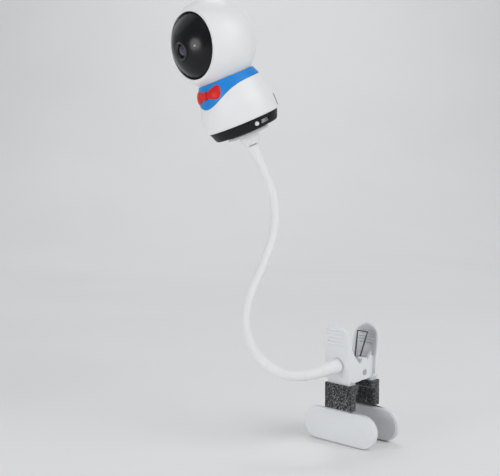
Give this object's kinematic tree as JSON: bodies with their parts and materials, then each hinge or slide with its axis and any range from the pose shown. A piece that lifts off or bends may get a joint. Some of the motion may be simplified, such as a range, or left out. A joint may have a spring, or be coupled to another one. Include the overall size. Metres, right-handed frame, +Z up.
{
  "type": "baby monitor camera",
  "caption": "Clip-on baby monitor camera: a ball head with a tilting lens dome pans on a small torso carried by a flexible gooseneck and a spring clip that grips a crib rail.",
  "frame": {"origin": "centre of the front jaw's gripping face, where it rests on the rail", "axes": "+X along the rail, +Y into the rail from the front jaw to the rear jaw, +Z up; the camera's face looks towards -Y"},
  "size_m": [0.1892, 0.1293, 0.3938],
  "materials": {
    "white_plastic": "satin white plastic",
    "pale_plastic": "pale grey plastic",
    "neck_sleeve": "satin white silicone",
    "black_plastic": "matt black plastic",
    "dome_gloss": "gloss black infrared-clear plastic",
    "lens_glass": "coated lens glass",
    "band_blue": "satin blue paint",
    "bow_red": "satin red plastic",
    "grey_felt": "melange felt",
    "jaw_liner": "pale soft liner",
    "black_rubber": "matt black rubber",
    "steel": "plain steel",
    "spring_wire": "dark spring steel",
    "brass": "machined brass",
    "circuit_board": "green circuit board",
    "gear_nylon": "natural nylon"
  },
  "bodies": {
    "clip": {"front_lever": "white_plastic", "front_felt_sleeve": "grey_felt", "front_jaw_pad": "pale_plastic", "front_jaw_liner": "jaw_liner", "pivot_pin": "steel", "torsion_spring": "spring_wire", "bottom_ferrule": "white_plastic", "ferrule_screw": "steel"},
    "rear_lever_body": {"rear_lever": "white_plastic", "rear_felt_sleeve": "grey_felt", "rear_jaw_pad": "pale_plastic", "rear_jaw_liner": "jaw_liner"},
    "neck_link_1": {"neck_core_1": "steel", "neck_sleeve_1": "neck_sleeve"},
    "neck_link_2": {"neck_core_2": "steel", "neck_sleeve_2": "neck_sleeve"},
    "neck_link_3": {"neck_core_3": "steel", "neck_sleeve_3": "neck_sleeve"},
    "neck_link_4": {"neck_core_4": "steel", "neck_sleeve_4": "neck_sleeve"},
    "neck_link_5": {"neck_core_5": "steel", "neck_sleeve_5": "neck_sleeve"},
    "neck_link_6": {"neck_core_6": "steel", "neck_sleeve_6": "neck_sleeve"},
    "neck_link_7": {"neck_core_7": "steel", "neck_sleeve_7": "neck_sleeve"},
    "neck_link_8": {"neck_core_8": "steel", "neck_sleeve_8": "neck_sleeve", "top_ferrule": "white_plastic", "mount_stud": "steel"},
    "plate": {"mount_plate": "pale_plastic", "plate_pad": "black_rubber"},
    "lock_nut_body": {"lock_nut": "white_plastic"},
    "camera": {"torso_shell": "white_plastic", "scarf_band": "band_blue", "bow_tie": "bow_red", "base_cover": "black_plastic", "threaded_insert": "brass", "usb_socket": "steel", "main_board": "circuit_board", "speaker": "black_plastic", "speaker_grille": "black_plastic", "pan_motor": "steel", "pan_deck": "pale_plastic"},
    "pair_button_body": {"pair_button": "pale_plastic"},
    "pan_pinion_body": {"pan_pinion": "brass"},
    "head": {"head_shell": "white_plastic", "head_yoke": "pale_plastic", "tilt_motor": "steel", "pan_gear": "gear_nylon"},
    "tilt_pinion_body": {"tilt_pinion": "brass"},
    "eye": {"dome_cover": "dome_gloss", "lens_ring": "black_plastic", "lens_glass": "lens_glass", "lens_barrel": "black_plastic", "light_sensor": "lens_glass", "image_sensor_board": "circuit_board", "ir_led_board": "circuit_board", "eye_frame": "black_plastic", "tilt_gear": "gear_nylon"}
  },
  "joints": [
    {"name": "clip_pivot", "type": "hinge", "parent": "clip", "child": "rear_lever_body", "pos_m": [0, 0.013, 0.048], "axis": [1, 0, 0], "range_deg": [-18, 22], "stiffness_Nm_per_rad": 1.1, "springref_deg": -51.57, "deforming": ["torsion_spring"]},
    {"name": "neck_bend_1", "type": "hinge", "parent": "clip", "child": "neck_link_1", "pos_m": [0, -0.0311, 0.0529], "axis": [-0.1518, 0.1033, -0.983], "range_deg": [-15, 15]},
    {"name": "neck_bend_2", "type": "hinge", "parent": "neck_link_1", "child": "neck_link_2", "pos_m": [-0.0163, -0.0579, 0.0526], "axis": [0.3811, -0.7245, -0.5743], "range_deg": [-15, 15]},
    {"name": "neck_bend_3", "type": "hinge", "parent": "neck_link_2", "child": "neck_link_3", "pos_m": [-0.0429, -0.0654, 0.0677], "axis": [-0.5281, 0.5172, -0.6735], "range_deg": [-15, 15]},
    {"name": "neck_bend_4", "type": "hinge", "parent": "neck_link_3", "child": "neck_link_4", "pos_m": [-0.0641, -0.0571, 0.0907], "axis": [-0.7612, -0.6304, -0.1524], "range_deg": [-15, 15]},
    {"name": "neck_bend_5", "type": "hinge", "parent": "neck_link_4", "child": "neck_link_5", "pos_m": [-0.074, -0.0395, 0.1159], "axis": [-0.0516, 0.8091, -0.5854], "range_deg": [-15, 15]},
    {"name": "neck_bend_6", "type": "hinge", "parent": "neck_link_5", "child": "neck_link_6", "pos_m": [-0.076, -0.0206, 0.1422], "axis": [-0.209, 0.8364, -0.5066], "range_deg": [-15, 15]},
    {"name": "neck_bend_7", "type": "hinge", "parent": "neck_link_6", "child": "neck_link_7", "pos_m": [-0.0768, -0.0064, 0.1717], "axis": [0.9408, -0.2947, 0.1674], "range_deg": [-15, 15]},
    {"name": "neck_bend_8", "type": "hinge", "parent": "neck_link_7", "child": "neck_link_8", "pos_m": [-0.0815, -0.0034, 0.2034], "axis": [0.1999, 0.969, 0.1453], "range_deg": [-15, 15]},
    {"name": "plate_travel", "type": "slide", "parent": "neck_link_8", "child": "plate", "axis": [0.186, 0.3509, -0.9178], "range_m": [0, 0.00127]},
    {"name": "lock_nut_turn", "type": "hinge", "parent": "plate", "child": "lock_nut_body", "pos_m": [-0.09321, -0.02149, 0.25516], "axis": [-0.186, -0.3509, 0.9178], "range_deg": [0, 360]},
    {"name": "camera_swivel", "type": "hinge", "parent": "neck_link_8", "child": "camera", "pos_m": [-0.0947, -0.0243, 0.2625], "axis": [-0.186, -0.3509, 0.9178], "range_deg": [-180, 180]},
    {"name": "pair_button_press", "type": "slide", "parent": "camera", "child": "pair_button_body", "axis": [-0.8956, 0.4448, -0.0114], "range_m": [0, 0.0007], "stiffness_N_per_m": 1500, "springref_m": -0.0004},
    {"name": "head_pan", "type": "hinge", "parent": "camera", "child": "head", "pos_m": [-0.11028, -0.05371, 0.33941], "axis": [-0.186, -0.3509, 0.9178], "range_deg": [-177, 177]},
    {"name": "pan_pinion_spin", "type": "hinge", "parent": "camera", "child": "pan_pinion_body", "pos_m": [-0.10089, -0.02315, 0.30309], "axis": [-0.186, -0.3509, 0.9178], "range_deg": [-595, 595]},
    {"name": "eye_tilt", "type": "hinge", "parent": "head", "child": "eye", "pos_m": [-0.11028, -0.05371, 0.33941], "axis": [-0.9809, 0.12, -0.1529], "range_deg": [-24, 38]},
    {"name": "tilt_pinion_spin", "type": "hinge", "parent": "head", "child": "tilt_pinion_body", "pos_m": [-0.09558, -0.04428, 0.34599], "axis": [-0.9809, 0.12, -0.1529], "range_deg": [-118, 76]}
  ],
  "couplings": [
    {"joint": "lock_nut_turn", "follows": "plate_travel", "rad_per_m": 4947.4},
    {"joint": "pan_pinion_spin", "follows": "head_pan", "ratio": -3.3333},
    {"joint": "tilt_pinion_spin", "follows": "eye_tilt", "ratio": -3}
  ]
}
